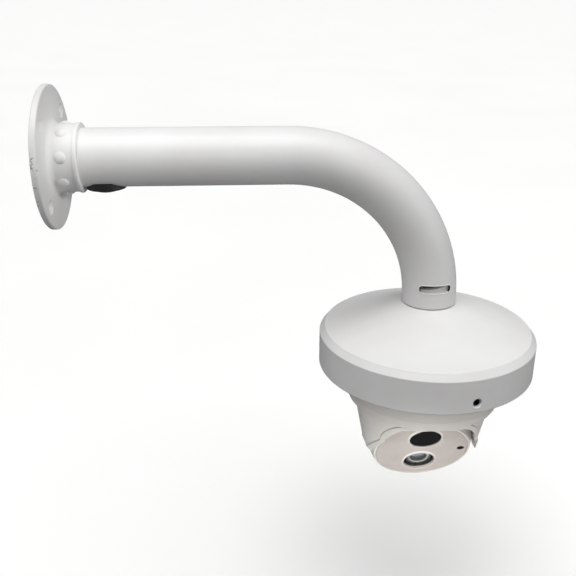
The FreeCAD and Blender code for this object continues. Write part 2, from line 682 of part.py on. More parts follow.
def ball_front_shell():
    """Front band of the ball with a rebate for the face plate."""
    rear_r = sphere_r(BALL_R, PARTING_W)
    face_r = sphere_r(BALL_R, FACE_W)
    mid_w = (PARTING_W + FACE_W) / 2
    seat_w = FACE_W - FACE_PLATE_T
    rebate = FACE_PLATE_R + 0.1
    profile = [(SPIGOT_SHELL_R + 0.1, PARTING_W), (rear_r, PARTING_W),
               (sphere_r(BALL_R, mid_w), mid_w, face_r, FACE_W),
               (rebate, FACE_W), (rebate, seat_w), (rebate - 2.4, seat_w), (rebate - 2.4, seat_w - 1.6),
               (SPIGOT_SHELL_R + 0.1, seat_w - 2.6)]
    return in_ball(turned(profile))


def chassis_posts():
    """Axes of the three posts that hold the chassis."""
    return [point_on(POST_CIRCLE_R, a) for a in (210, 330, 90)]


def ball_rear_shell():
    """Rear bowl of the ball inside the cradle, with a spigot for the front shell and three posts."""
    inner = REAR_SHELL_R - REAR_SHELL_WALL
    rear_w = -28.5
    bore = SPIGOT_SHELL_R - 1.6
    tip = PARTING_W + 5.6
    shoulder_r = sphere_r(REAR_SHELL_R, PARTING_W)
    bowl = turned([(0.0, -REAR_SHELL_R), (sphere_r(REAR_SHELL_R, -20), -20, shoulder_r, PARTING_W),
                   (SPIGOT_SHELL_R, PARTING_W), (SPIGOT_SHELL_R, tip), (bore, tip), (bore, PARTING_W - 3.0),
                   (sphere_r(inner, PARTING_W - 6.0), PARTING_W - 6.0),
                   (sphere_r(inner, -20), -20, 0.0, -inner)])
    posts = []
    for place in chassis_posts():
        post = disc(POST_R, -22, CHASSIS_W, place).common(Part.makeSphere(inner + 0.5))
        posts.append(post.cut(disc(POST_SCREW_R, CHASSIS_W - 7, CHASSIS_W + 1, place)))
    groove = ring(SPIGOT_SHELL_R + 1, SPIGOT_SHELL_R - 0.95, 5.2, 6.6)
    hole = disc(8.0, -40, rear_w + 8)
    return in_ball(fused([bowl] + posts).cut([hole, groove]))


def shell_oring():
    """O-ring in the rear shell's spigot."""
    return in_ball(Part.makeTorus(SPIGOT_SHELL_R - 0.45, 0.5, Vec(0, 0, 5.9), Z_AXIS))


def cable_gland():
    """Rubber gland where the cable leaves the ball."""
    return in_ball(turned([(3.0, -32.2), (7.0, -32.2), (9.6, -31.2), (9.6, -30.0), (7.9, -30.0),
                           (7.9, -27.0), (9.4, -27.0), (9.4, -25.8), (3.0, -25.8)]))


def face_plate():
    """Round front plate with seated holes for two windows and a hole for the light sensor."""
    low = FACE_W - FACE_PLATE_T
    profile = [(0, low), (FACE_PLATE_R, low), (FACE_PLATE_R, FACE_W - 0.4), (FACE_PLATE_R - 0.4, FACE_W),
               (0, FACE_W)]
    seat = FACE_W - BEZEL_SEAT
    windows = [Vec(0, v, 0) for v in (LENS_V, IR_V)]
    cuts = [disc(WINDOW_R + 0.1, low - 1, FACE_W + 3, place) for place in windows]
    cuts += [disc(WINDOW_R + BEZEL_W + FIT, seat, FACE_W + 3, place) for place in windows]
    cuts.append(disc(SENSOR_WINDOW_R + 0.05, low - 1, FACE_W + 3, Vec(SENSOR_X, SENSOR_V, 0)))
    return in_ball(turned(profile).cut(cuts))


def window_bezel(v):
    """Raised ring round a window, seated in the face plate."""
    inner = WINDOW_R + 0.15
    outer = WINDOW_R + BEZEL_W
    return in_ball(turned([(inner, FACE_W - BEZEL_SEAT), (inner, FACE_W + 0.8), (inner + 0.35, FACE_W + 0.95),
                           (outer - 0.35, FACE_W + 0.6), (outer, FACE_W + 0.2), (outer, FACE_W - BEZEL_SEAT)],
                          Vec(0, v, 0)))


def window_disc(v, low, high):
    """Flat round window."""
    pane = disc(WINDOW_R, low, high, Vec(0, v, 0))
    return in_ball(pane)


def light_sensor_window():
    """Small dark window over the light sensor."""
    return in_ball(disc(SENSOR_WINDOW_R, FACE_W - FACE_PLATE_T, FACE_W - 0.35, Vec(SENSOR_X, SENSOR_V, 0)))


def light_sensor():
    """Photocell on a stem from the chassis."""
    stem = disc(1.2, CHASSIS_W + CHASSIS_T, FACE_W - 4.6, Vec(SENSOR_X - 0.4, SENSOR_V, 0))
    cell = disc(1.8, FACE_W - 4.6, FACE_W - 2.6, Vec(SENSOR_X - 0.4, SENSOR_V, 0))
    return in_ball(fused([stem, cell]))


def chassis():
    """Round inner plate that carries the optics and the infrared lamp."""
    low = CHASSIS_W
    high = CHASSIS_W + CHASSIS_T
    cuts = [disc(LENS_NOSE_R + 0.2, low - 1, high + 1, Vec(0, LENS_V, 0)),
            disc(3.0, low - 1, high + 1, Vec(-17, 2, 0))]
    cuts += [disc(POST_SCREW_R + 0.2, low - 1, high + 1, place) for place in chassis_posts()]
    return in_ball(disc(CHASSIS_R, low, high).cut(cuts))


def chassis_screws():
    """Three screws that hold the chassis to the posts."""
    screw = pan_screw(POST_SCREW_R, 7.0, 2.2, 1.5)
    high = CHASSIS_W + CHASSIS_T
    return in_ball(group([pointed(screw, Vec(p.x, p.y, high), Z_AXIS) for p in chassis_posts()]))


def square_block(side, low, height, v):
    """A square block centred on the lens's or lamp's axis."""
    return Part.makeBox(side, side, height, Vec(-side / 2, v - side / 2, low))


def lens_holder():
    """Square lens mount on the sensor board, with a threaded bore."""
    low = SENSOR_BOARD_W + BOARD_T
    high = CHASSIS_W - 0.6
    block = square_block(LENS_HOLDER_SIDE, low, high - low, LENS_V)
    bore = disc(LENS_THREAD_R + FIT, low + 4.0, high + 1, Vec(0, LENS_V, 0))
    well = square_block(SENSOR_WELL_SIDE, low - 0.4, 4.5, LENS_V)
    return in_ball(block.cut([bore, well]))


def lens_barrel():
    """Lens barrel: threaded tail, wider nose, stepped bore for the glass."""
    bore = REAR_GLASS_R + 0.1
    return in_ball(turned([(bore - 0.5, -3.2), (LENS_THREAD_R, -3.2), (LENS_THREAD_R, 4.2),
                           (LENS_NOSE_R, 4.8), (LENS_NOSE_R, LENS_NOSE_W - 0.5),
                           (LENS_NOSE_R - 0.5, LENS_NOSE_W), (LENS_SEAT_R, LENS_NOSE_W),
                           (LENS_SEAT_R, 7.2), (bore, 6.6), (bore, -1.4), (bore - 0.5, -1.8)],
                          Vec(0, LENS_V, 0)))


def lens_ring():
    """Bright ring round the front glass."""
    low = LENS_NOSE_W + 0.02
    return in_ball(turned([(LENS_SEAT_R, low), (LENS_NOSE_R - 0.2, low), (LENS_NOSE_R - 0.4, low + 0.38),
                           (LENS_SEAT_R + 0.6, low + 0.53), (LENS_SEAT_R - 0.2, low + 0.18)],
                          Vec(0, LENS_V, 0)))


def lens_front_element():
    """Domed front glass of the lens."""
    glass = fused([disc(FRONT_GLASS_R, 7.4, 8.6), dome(FRONT_GLASS_R, 8.6, 2.0)])
    glass.translate(Vec(0, LENS_V, 0))
    return in_ball(glass)


def lens_rear_element():
    """Rear glass of the lens, domed on both sides."""
    under = dome(REAR_GLASS_R, 0.1, 0.9)
    under.rotate(ORIGIN, X_AXIS, 180)
    glass = fused([disc(REAR_GLASS_R, -0.1, 1.6), dome(REAR_GLASS_R, 1.6, 0.7), under])
    glass.translate(Vec(0, LENS_V, 0))
    return in_ball(glass)


def ir_cut_filter():
    """Thin square filter above the image sensor."""
    low = SENSOR_BOARD_W + BOARD_T + 2.4
    return in_ball(square_block(9.0, low, 0.6, LENS_V))


def image_sensor():
    """Image sensor package on its board."""
    low = SENSOR_BOARD_W + BOARD_T
    return in_ball(Part.makeBox(8.4, 7.2, 1.2, Vec(-4.2, LENS_V - 3.6, low)))


def standoff_places():
    """Axes of the three standoffs between the boards."""
    return [point_on(STANDOFF_CIRCLE_R, a) for a in (20, 160, 90)]


def board(radius, low):
    """Round circuit board with holes over the standoffs and flats that clear the posts."""
    cuts = [disc(1.3, low - 1, low + 4, place) for place in standoff_places()]
    cuts += [disc(POST_R + 0.5, low - 1, low + 4, place) for place in chassis_posts()]
    return disc(radius, low, low + BOARD_T).cut(cuts)


def sensor_board():
    """Front circuit board, behind the lens."""
    return in_ball(board(24.0, SENSOR_BOARD_W))


def main_board():
    """Rear circuit board."""
    return in_ball(board(20.0, MAIN_BOARD_W))


def board_standoffs():
    """Three hexagon standoffs between the two boards."""
    low = MAIN_BOARD_W + BOARD_T
    posts = []
    for place in standoff_places():
        corners = [point_on(STANDOFF_R, 60 * k, low, place) for k in range(7)]
        posts.append(Part.Face(Part.makePolygon(corners)).extrude(Vec(0, 0, SENSOR_BOARD_W - low)))
    return in_ball(group(posts))


def processor():
    """Processor package on the rear board."""
    return in_ball(Part.makeBox(12, 12, 1.4, Vec(-6, -9, MAIN_BOARD_W - 1.4)))


def network_socket():
    """Pin header for the cable on the rear board."""
    shell = Part.makeBox(11, 5, 4.5, Vec(-5.5, 7.5, MAIN_BOARD_W - 4.5))
    return in_ball(shell.cut(Part.makeBox(9, 3, 3.5, Vec(-4.5, 8.5, MAIN_BOARD_W - 4.6))))


def ir_board():
    """Aluminium-core board of the infrared lamp."""
    low = CHASSIS_W + CHASSIS_T
    corner = disc(POST_R + 0.4, low - 1, low + 3, Vec(0, POST_CIRCLE_R, 0))
    return in_ball(disc(IR_BOARD_R, low, low + IR_BOARD_T, Vec(0, IR_V - 3.0, 0)).cut(corner))


def ir_emitter():
    """Infrared emitter: square base and clear dome."""
    low = CHASSIS_W + CHASSIS_T + IR_BOARD_T
    base = square_block(4.0, low, 0.9, IR_V)
    ball = Part.makeSphere(1.7, Vec(0, IR_V, low + 0.9)).common(disc(2, low + 0.8, low + 4, Vec(0, IR_V, 0)))
    return in_ball(fused([base, ball]))


def ir_reflector():
    """Bright reflector cup round the emitter."""
    low = CHASSIS_W + CHASSIS_T + IR_BOARD_T + 0.1
    high = FACE_W - FACE_PLATE_T - 0.2
    cup = turned([(3.0, low), (3.8, low), (8.9, high), (8.2, high)], Vec(0, IR_V, 0))
    return in_ball(cup.cut(disc(2.6, low - 1, low + 0.2, Vec(0, POST_CIRCLE_R, 0))))


def heat_sink():
    """Finned aluminium block under the lamp's side of the chassis."""
    base_w = CHASSIS_W - 2.0
    wide = FIN_PITCH * (FIN_COUNT - 1) + FIN_T
    block = Part.makeBox(wide, 8, 2.0, Vec(-wide / 2, 9.6, base_w))
    fins = [Part.makeBox(FIN_T, 8, FIN_H, Vec(FIN_PITCH * k - wide / 2, 9.6, base_w - FIN_H))
            for k in range(FIN_COUNT)]
    return in_ball(fused([block] + fins))


def all_parts():
    """Every node's name and its shape."""
    parts = {maker.__name__: maker() for maker in (
        wall_flange, arm_tube, collar_rivets, cable_plug,
        cap_shell, swivel_spigot, spigot_screws, lock_screw, lock_washer, mounting_plate, plate_set_screws,
        base_gasket, camera_base, base_screws, base_nuts, cable_grommet, friction_ring, clamp_ring,
        base_lock_screw, shroud, tilt_cradle, trunnion_pins,
        ball_front_shell, ball_rear_shell, shell_oring, cable_gland, face_plate, light_sensor_window,
        light_sensor, chassis, chassis_screws, lens_holder, lens_barrel, lens_ring, lens_front_element,
        lens_rear_element, ir_cut_filter, image_sensor, sensor_board, main_board, board_standoffs,
        processor, network_socket, ir_board, ir_emitter, ir_reflector, heat_sink)}
    parts["lens_bezel"] = window_bezel(LENS_V)
    parts["ir_bezel"] = window_bezel(IR_V)
    parts["lens_window"] = window_disc(LENS_V, FACE_W - 2.0, FACE_W - 0.6)
    parts["ir_window"] = window_disc(IR_V, FACE_W - 1.9, FACE_W + 0.1)
    return parts


def main():
    os.makedirs("parts", exist_ok=True)
    for name, shape in all_parts().items():
        volume = sum(solid.Volume for solid in shape.Solids)
        state = "valid" if shape.isValid() else "INVALID"
        print(name, len(shape.Solids), "solids", round(volume, 1), "mm3", state)
        shape.exportStep("parts/" + name + ".step")


main()
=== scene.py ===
import json
import math

import bpy
import numpy as np
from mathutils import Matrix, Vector


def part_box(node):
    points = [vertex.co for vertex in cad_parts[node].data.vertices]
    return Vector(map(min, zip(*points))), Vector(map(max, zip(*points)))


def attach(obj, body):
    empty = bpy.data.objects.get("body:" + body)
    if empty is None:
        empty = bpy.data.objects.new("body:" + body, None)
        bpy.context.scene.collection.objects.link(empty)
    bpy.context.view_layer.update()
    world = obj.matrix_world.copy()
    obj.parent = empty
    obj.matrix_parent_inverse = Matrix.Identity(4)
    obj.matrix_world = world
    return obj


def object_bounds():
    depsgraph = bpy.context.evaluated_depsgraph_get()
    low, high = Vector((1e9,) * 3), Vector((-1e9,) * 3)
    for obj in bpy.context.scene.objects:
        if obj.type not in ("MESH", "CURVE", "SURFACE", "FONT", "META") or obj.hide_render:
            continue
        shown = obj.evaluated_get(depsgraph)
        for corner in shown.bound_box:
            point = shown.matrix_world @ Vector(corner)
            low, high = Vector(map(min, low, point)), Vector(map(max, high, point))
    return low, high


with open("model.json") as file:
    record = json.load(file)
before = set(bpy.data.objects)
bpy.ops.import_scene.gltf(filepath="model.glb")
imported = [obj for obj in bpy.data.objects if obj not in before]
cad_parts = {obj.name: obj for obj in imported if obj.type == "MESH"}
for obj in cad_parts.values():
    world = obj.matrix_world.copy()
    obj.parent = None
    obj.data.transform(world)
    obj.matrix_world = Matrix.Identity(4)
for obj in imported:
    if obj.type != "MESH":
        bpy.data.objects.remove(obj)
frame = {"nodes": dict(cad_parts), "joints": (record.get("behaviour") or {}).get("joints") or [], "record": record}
cad_low, cad_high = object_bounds()

# A white turret security camera under the dished cap of a bent wall bracket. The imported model
# gives every part its place; this script gives the parts their finishes and the fine pieces.

MM = 0.001
NODES = frame["nodes"]
JOINTS = {joint["name"]: joint for joint in frame["joints"]}
BALL_CENTRE = np.array(JOINTS["tilt"]["pos_m"], float)
LENS_AXIS = np.array(JOINTS["roll"]["axis"], float)
LENS_RIGHT = np.array([1.0, 0.0, 0.0])
LENS_UP = np.cross(LENS_AXIS, LENS_RIGHT)

# The arm's bend and the slots in its neck.
NECK_X = float(BALL_CENTRE[0])
TUBE_R = (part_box("arm_tube")[1].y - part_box("arm_tube")[0].y) / 2
TUBE_WALL = 2.0 * MM
BEND_R = 84.5 * MM
BEND_CENTRE = (NECK_X - BEND_R, 0.0, -BEND_R)
NECK_TOP = -60.0 * MM
SLOT_MIDDLE = -75.8 * MM
SLOT_HALF_H = 2.6 * MM
SLOT_HALF_ANGLE = math.radians(36.0)
SLOT_END_FILL = 0.35
SLOT_SIDE_FILL = 0.6
CUT_SHARE = 0.4
UPRIGHT_WITHIN = 0.8
BEAD_R = 0.28 * MM
BEAD_STEPS = (320, 16)

# The flange's rim, and the stretch of it that has grey specks.
RIM_R = 38.3 * MM
RIM_X = 4.0 * MM
RIM_WORN = -5.0 * MM
RIM_WORN_HALF = 13.0 * MM
RIM_SPECK_MM = 1.4
RIM_SPECK_ABOVE = 0.62

# The lens's rubber seal and window: radii from the lens's axis, heights along it from the ball's centre.
LENS_DROP = -12.0 * MM
SEAL_LOW = 5.9 * MM
SEAL_TOP = 11.55 * MM
SEAL_BORE = 7.6 * MM
SEAL_MOUTH = 9.3 * MM
SEAL_THICK = 0.9 * MM
SEAL_RIBS = 5
SEAL_RIB_H = 0.16 * MM
SEAL_STEPS = (128, 90)
PRINT_R = 8.0 * MM

# Camera and floor, in metres and in mm of lens.
CAMERA_PLACE = (0.1092, -0.4087, 0.0846)
CAMERA_AIM = (0.1300, 0.0, -0.0790)
CAMERA_LENS = 46.5
CAMERA_SENSOR = 36.0
FLOOR_BELOW = 0.11
FLOOR_HALF = 60.0
FLOOR_GLOW = 0.08

# Light, in metres and in the units of Blender's lamps. Each lamp stands off from what it looks at.
TENT_LOW = 0.19
TENT_HIGH = 0.38
TENT_DIM_AT = -0.35
TENT_BRIGHT_AT = 0.45
OVERHEAD_FROM = (-0.10, -0.30, 1.0)
OVERHEAD = 1.98
OVERHEAD_WIDTH = math.radians(50.0)
SIDE_FROM = (0.90, -0.45, 0.25)
SIDE = 0.75
SIDE_SIZE = 0.6
FRONT_FROM = (-0.05, -0.62, 0.16)
FRONT = 0.06
FRONT_SIZE = 0.25
TURRET_FROM = (-0.08, -0.50, -0.05)
TURRET_AIM = (0.0, 0.0, -0.012)
TURRET = 24.0
TURRET_CONE = math.radians(9.4)
FLANGE_FROM = (0.75, -0.30, 0.15)
FLANGE = 12.5
FLANGE_CONE = math.radians(9.0)
SPOT_RADIUS = 0.05


# ---- materials: helpers ----
def linear(hex_colour):
    """An sRGB hex colour such as "ECEAE6" as the linear numbers that the shader needs."""
    parts = np.array([int(hex_colour[k:k + 2], 16) / 255.0 for k in (0, 2, 4)])
    low = parts / 12.92
    high = ((parts + 0.055) / 1.055) ** 2.4
    return (*np.where(parts <= 0.04045, low, high), 1.0)


def per_mm(size_mm):
    """The scale that makes a texture's own unit this long. A wave's bands are 0.31 of a unit apart."""
    return 1.0 / (size_mm * MM)


def add(tree, kind, settings=None, **links):
    """Add one node. Its settings are attributes; its links are inputs, given nodes, sockets or values."""
    node = tree.nodes.new("ShaderNode" + kind)
    for name, value in (settings or {}).items():
        setattr(node, name, value)
    for name, value in links.items():
        socket = node.inputs[int(name[1:])] if name[1:].isdigit() else node.inputs[name.replace("_", " ")]
        if isinstance(value, bpy.types.Node):
            value = value.outputs[0]
        if isinstance(value, bpy.types.NodeSocket):
            tree.links.new(value, socket)
        else:
            socket.default_value = value
    return node


def new_material(name, **surface):
    """A material with one Principled shader, its even values set on the shader's own sockets."""
    material = bpy.data.materials.new(name)
    material.use_nodes = True
    tree = material.node_tree
    tree.nodes.clear()
    shader = add(tree, "BsdfPrincipled")
    for key, value in surface.items():
        shader.inputs[key.replace("_", " ")].default_value = value
    add(tree, "OutputMaterial", Surface=shader)
    place = add(tree, "TexCoord").outputs["Object"]
    return material, tree, shader, place


def mottled(tree, place, size_mm, first, second, detail=3.0):
    """A soft noise between two colours, for the small unevenness of a real finish."""
    noise = add(tree, "TexNoise", Vector=place, Scale=per_mm(size_mm), Detail=detail)
    ramp = add(tree, "ValToRGB", Fac=noise)
    for stop, position, colour in zip(ramp.color_ramp.elements, (0.32, 0.68), (first, second)):
        stop.position = position
        stop.color = linear(colour)
    return ramp


def wire(tree, shader, colour=None, rough=None, spread=None, heights=()):
    """Link a colour, a roughness pattern spread over a range, and bumps as (height, depth in mm)."""
    if colour is not None:
        tree.links.new(colour.outputs[0], shader.inputs["Base Color"])
    if rough is not None:
        gloss = add(tree, "MapRange", Value=rough, To_Min=spread[0], To_Max=spread[1])
        tree.links.new(gloss.outputs["Result"], shader.inputs["Roughness"])
    laid = None
    for height, depth_mm in heights:
        below = {} if laid is None else {"Normal": laid}
        laid = add(tree, "Bump", Height=height, Distance=depth_mm * MM, Strength=1.0, **below)
    if laid is not None:
        tree.links.new(laid.outputs["Normal"], shader.inputs["Normal"])


def lens_coordinates(tree, place):
    """Object coordinates turned so that Z runs along the lens axis, from the ball's centre."""
    moved = add(tree, "VectorMath", {"operation": "SUBTRACT"}, i0=place, i1=tuple(BALL_CENTRE))
    along = [add(tree, "VectorMath", {"operation": "DOT_PRODUCT"}, i0=moved, i1=tuple(axis)).outputs["Value"]
             for axis in (LENS_RIGHT, LENS_UP, LENS_AXIS)]
    return add(tree, "CombineXYZ", X=along[0], Y=along[1], Z=along[2])


def reach(tree, place, centre, keep):
    """Distance from a centre, counted along the kept axes only."""
    moved = add(tree, "VectorMath", {"operation": "SUBTRACT"}, i0=place, i1=centre)
    level = add(tree, "VectorMath", {"operation": "MULTIPLY"}, i0=moved, i1=keep)
    return add(tree, "VectorMath", {"operation": "LENGTH"}, i0=level).outputs["Value"]


def where_all(tree, first, *others):
    """One where every mask is one: the masks multiplied together."""
    mask = first
    for other in others:
        mask = add(tree, "Math", {"operation": "MULTIPLY"}, i0=mask, i1=other)
    return mask


# ---- materials: painted metal ----
def powder_coat(name, light, shade, peel_mm, peel_depth, rough, sway_depth, patch=None, patch_hex=None):
    """Baked polyester powder: flows into a faint orange peel, so its highlights are soft-edged.

    Where patch gives a mask, the surface there takes the colour of patch_hex.
    """
    material, tree, shader, place = new_material(name, IOR=1.5, Coat_Weight=0.1, Coat_Roughness=0.25)
    sway = add(tree, "TexNoise", Vector=place, Scale=per_mm(26.0), Detail=2.0)
    peel = add(tree, "TexNoise", Vector=place, Scale=per_mm(peel_mm), Detail=2.0)
    paint = mottled(tree, place, 38.0, shade, light)
    if patch is not None:
        paint = add(tree, "MixRGB", Fac=patch(tree, place), Color1=paint, Color2=linear(patch_hex))
    wire(tree, shader, paint, sway, (rough - 0.05, rough + 0.05), [(sway, sway_depth), (peel, peel_depth)])
    return material


def thin_rim(tree, place):
    """Mask of small specks on one stretch of the flange's rim."""
    split = add(tree, "SeparateXYZ", Vector=place)
    radius = reach(tree, place, (0.0, 0.0, 0.0), (0.0, 1.0, 1.0))
    rim = add(tree, "Math", {"operation": "GREATER_THAN"}, i0=radius, i1=RIM_R)
    flange = add(tree, "Math", {"operation": "LESS_THAN"}, i0=split.outputs["X"], i1=RIM_X)
    worn = add(tree, "Math", {"operation": "COMPARE"}, i0=split.outputs["Z"], i1=RIM_WORN, i2=RIM_WORN_HALF)
    grain = add(tree, "TexNoise", Vector=place, Scale=per_mm(RIM_SPECK_MM), Detail=4.0)
    speck = add(tree, "Math", {"operation": "GREATER_THAN"}, i0=grain, i1=RIM_SPECK_ABOVE)
    return where_all(tree, rim, flange, worn, speck)


def painted_slot_shade(tree, place):
    """Mask for painted shade: the faces cut through the tube's wall low on the bend, except the nearly level ones.
    """
    split = add(tree, "SeparateXYZ", Vector=place)
    outward = add(tree, "Math", {"operation": "SUBTRACT"}, i1=BEND_R,
                  i0=reach(tree, place, BEND_CENTRE, (1.0, 0.0, 1.0)))
    section = add(tree, "CombineXYZ", X=outward, Y=split.outputs["Y"])
    radius = add(tree, "VectorMath", {"operation": "LENGTH"}, i0=section).outputs["Value"]
    in_wall = add(tree, "Math", {"operation": "COMPARE"}, i0=radius, i1=TUBE_R - TUBE_WALL / 2,
                  i2=TUBE_WALL * CUT_SHARE)
    low = add(tree, "Math", {"operation": "LESS_THAN"}, i0=split.outputs["Z"], i1=NECK_TOP)
    facing = add(tree, "SeparateXYZ", Vector=add(tree, "NewGeometry").outputs["Normal"]).outputs["Z"]
    upright = add(tree, "Math", {"operation": "COMPARE"}, i0=facing, i1=0.0, i2=UPRIGHT_WITHIN)
    return where_all(tree, in_wall, low, upright)


def powder_coated_casting():
    """Die-cast aluminium under powder: a little coarser peel than on the drawn tube.

    Small grey specks on a stretch of the flange's rim stand for thin paint.
    """
    return powder_coat("powder_coated_cast_aluminium", "EEEEED", "E7E6E5", 1.7, 0.010, 0.42, 0.05,
                       thin_rim, "A9A7A3")


def powder_coated_tube():
    """Drawn aluminium tube under powder: even, with a slow sway left by the bending.

    The cut ends of the neck's slots are painted near black, as painted shade for the deep shadow inside them. That
    colour was set by eye, and its cause is unknown.
    """
    # The near black 2E2D2C on the slots' cut faces is painted shade.
    return powder_coat("powder_coated_drawn_tube", "EEEEED", "E8E7E6", 1.3, 0.007, 0.38, 0.09,
                       painted_slot_shade, "2E2D2C")


def powder_coated_plate():
    """Closing plate of the cap under a thin powder coat, duller than the outside."""
    return powder_coat("powder_coated_pressed_steel", "E0DFDD", "D6D5D2", 1.5, 0.012, 0.52, 0.04)


def thin_coat_sleeve():
    """A turned sleeve under a thin coat of paint, with the turning lines showing through.

    The lines are drawn just under a millimetre apart, wider than real ones.
    """
    material, tree, shader, place = new_material("oversprayed_turned_sleeve", IOR=1.5)
    lines = add(tree, "TexWave", {"bands_direction": "Z"}, Vector=place, Scale=per_mm(3.0), Distortion=1.0)
    wire(tree, shader, mottled(tree, place, 6.0, "E2E1DE", "ECEBE9"), lines, (0.42, 0.58), [(lines, 0.02)])
    return material


# ---- materials: metals ----
def metal(name, dark, bright, rough, grain_mm, depth_mm, stretch=(1.0, 1.0, 1.0)):
    """A bare metal with a directional grain: stretch packs the noise together along an axis."""
    material, tree, shader, place = new_material(name, Metallic=1.0)
    turned = add(tree, "Mapping", Vector=place, Scale=stretch)
    grain = add(tree, "TexNoise", Vector=turned, Scale=per_mm(grain_mm), Detail=4.0)
    wire(tree, shader, mottled(tree, place, grain_mm * 6.0, dark, bright), grain, (rough * 0.7, rough * 1.4),
         [(grain, depth_mm)])
    return material


def zinc_plated_steel():
    """Bright zinc over steel: cool grey with a faint mottled bloom."""
    return metal("zinc_plated_steel", "A9A8A2", "C9C8C3", 0.30, 0.8, 0.004)


def black_oxide_steel():
    """Blackened steel set screws: dark and faintly mottled."""
    return metal("black_oxide_steel", "222223", "3A3A3C", 0.38, 0.6, 0.004)


def milled_aluminium():
    """Bare milled aluminium of the chassis, lamp board and heat sink: fine parallel cutter lines."""
    return metal("milled_aluminium", "B6B7B9", "CFD0D2", 0.32, 0.5, 0.006, (1.0, 8.0, 1.0))


def turned_brass():
    """Turned brass standoffs: warm yellow, with close fine lines."""
    return metal("turned_brass", "B08D45", "CBAA62", 0.26, 0.4, 0.003, (1.0, 1.0, 6.0))


def polished_nickel():
    """Polished nickel plate of the ring round the front glass and the lamp's cup: nearly a mirror."""
    return metal("polished_nickel", "BDBCBA", "D5D4D2", 0.12, 0.7, 0.0015)


def black_anodised():
    """Black anodised aluminium of the lens barrel, with turning rings half a millimetre apart.

    The index is set below that of the real oxide skin, to dim its reflections.
    """
    material, tree, shader, place = new_material("black_anodised_aluminium", IOR=1.4)
    rings = add(tree, "TexWave", {"bands_direction": "Z"}, Vector=lens_coordinates(tree, place),
                Scale=per_mm(1.6))
    wire(tree, shader, mottled(tree, place, 4.0, "060607", "0B0B0C"), rings, (0.45, 0.6), [(rings, 0.015)])
    return material


# ---- materials: plastics and rubber ----
def moulded(name, light, shade, rough, texture_mm, depth_mm, **surface):
    """Injection-moulded plastic: even colour, with a spark texture drawn coarser than a real one."""
    material, tree, shader, place = new_material(name, IOR=1.53, **surface)
    fine = add(tree, "TexNoise", Vector=place, Scale=per_mm(texture_mm), Detail=4.0)
    sink = add(tree, "TexNoise", Vector=place, Scale=per_mm(18.0), Detail=2.0)
    wire(tree, shader, mottled(tree, place, 22.0, shade, light), fine, (rough - 0.05, rough + 0.06),
         [(sink, depth_mm * 4.0), (fine, depth_mm)])
    return material


def white_body_plastic():
    """Moulded ABS of the base, band and hood: semi-gloss, a little warmer than the powder coat."""
    return moulded("white_moulded_abs", "F1EEE9", "EBE7E1", 0.32, 0.9, 0.006)


def white_ball_plastic():
    """Moulded polycarbonate of the eyeball, its bezels and cradle: nearly the body's white, glossier."""
    return moulded("white_moulded_polycarbonate", "F0ECE6", "EAE5DE", 0.25, 0.8, 0.004)


def face_plastic_painted_shade():
    """Spark-textured face plate: satin, a light warm grey; its warm tint is the plastic's own, its darkness beside
    the white shell is painted shade for the shadow on the ball's face.
    """
    return moulded("spark_textured_face", "CFC7C1", "C4BBB5", 0.46, 0.55, 0.016)


def black_plastic():
    """Glass-filled black nylon of the lens mount and chip packages: dull, faintly grainy."""
    return moulded("glass_filled_black_nylon", "1D1D1E", "151516", 0.5, 0.5, 0.01)


def ivory_plastic():
    """Natural nylon of the network socket: ivory, satin."""
    return moulded("ivory_nylon", "E6DFC8", "DAD2B8", 0.45, 0.6, 0.006)


def natural_nylon():
    """Unfilled nylon of the friction ring: milky, with a little light soaking in."""
    return moulded("milky_nylon", "DEDACC", "D2CDBC", 0.42, 0.9, 0.008, Subsurface_Weight=0.1,
                   Subsurface_Scale=MM)


def rubber(name, light, shade, grain_mm, depth_mm, rough):
    """Moulded black rubber: dull, with a dusty bloom."""
    material, tree, shader, place = new_material(name, IOR=1.52, Sheen_Weight=0.04)
    grain = add(tree, "TexNoise", Vector=place, Scale=per_mm(grain_mm), Detail=5.0)
    wire(tree, shader, mottled(tree, place, 5.0, shade, light), grain, (rough - 0.08, rough + 0.08),
         [(grain, depth_mm)])
    return material


def black_rubber():
    """Moulded EPDM rubber of the plug, gland, grommet, O-ring and lens seal: deep black and dull."""
    return rubber("black_epdm_rubber", "161817", "0D0E0E", 0.7, 0.02, 0.5)


def black_foam():
    """Die-cut closed-cell foam of the gasket: dark grey, with small pits all over."""
    return rubber("black_cell_foam", "262626", "161616", 0.5, 0.12, 0.85)


# ---- materials: glass, optics and electronics ----
def infrared_window():
    """Polished infrared-pass acrylic: near black with a deep violet cast.

    The index is set below acrylic's 1.49, to dim its reflections.
    """
    material, tree, shader, place = new_material("infrared_pass_acrylic", IOR=1.4)
    flow = add(tree, "TexNoise", Vector=place, Scale=per_mm(12.0), Detail=2.0)
    wire(tree, shader, mottled(tree, place, 7.0, "050407", "09070C"), flow, (0.05, 0.10), [(flow, 0.006)])
    return material


def clear_window():
    """Hard-coated clear window over the lens, with a black border that goes right through it here."""
    material, tree, shader, place = new_material("hard_coated_clear_window", IOR=1.45, Roughness=0.01)
    radius = reach(tree, lens_coordinates(tree, place), (0.0, LENS_DROP, 0.0), (1.0, 1.0, 0.0))
    clear = add(tree, "Math", {"operation": "LESS_THAN"}, i0=radius, i1=PRINT_R)
    tint = mottled(tree, place, 11.0, "F7F9F8", "FBFCFC")
    wire(tree, shader, add(tree, "MixRGB", Fac=clear, Color1=linear("040404"), Color2=tint))
    tree.links.new(clear.outputs[0], shader.inputs["Transmission Weight"])
    return material


def lens_glass():
    """Multi-coated lens glass: clear, with a thin film that tints its reflections."""
    material, tree, shader, place = new_material("multi_coated_lens_glass", IOR=1.55, Roughness=0.01,
                                                 Transmission_Weight=1.0, Thin_Film_Thickness=420.0,
                                                 Thin_Film_IOR=1.38)
    wire(tree, shader, mottled(tree, place, 5.0, "AEB6CC", "B9B2CA"))
    return material


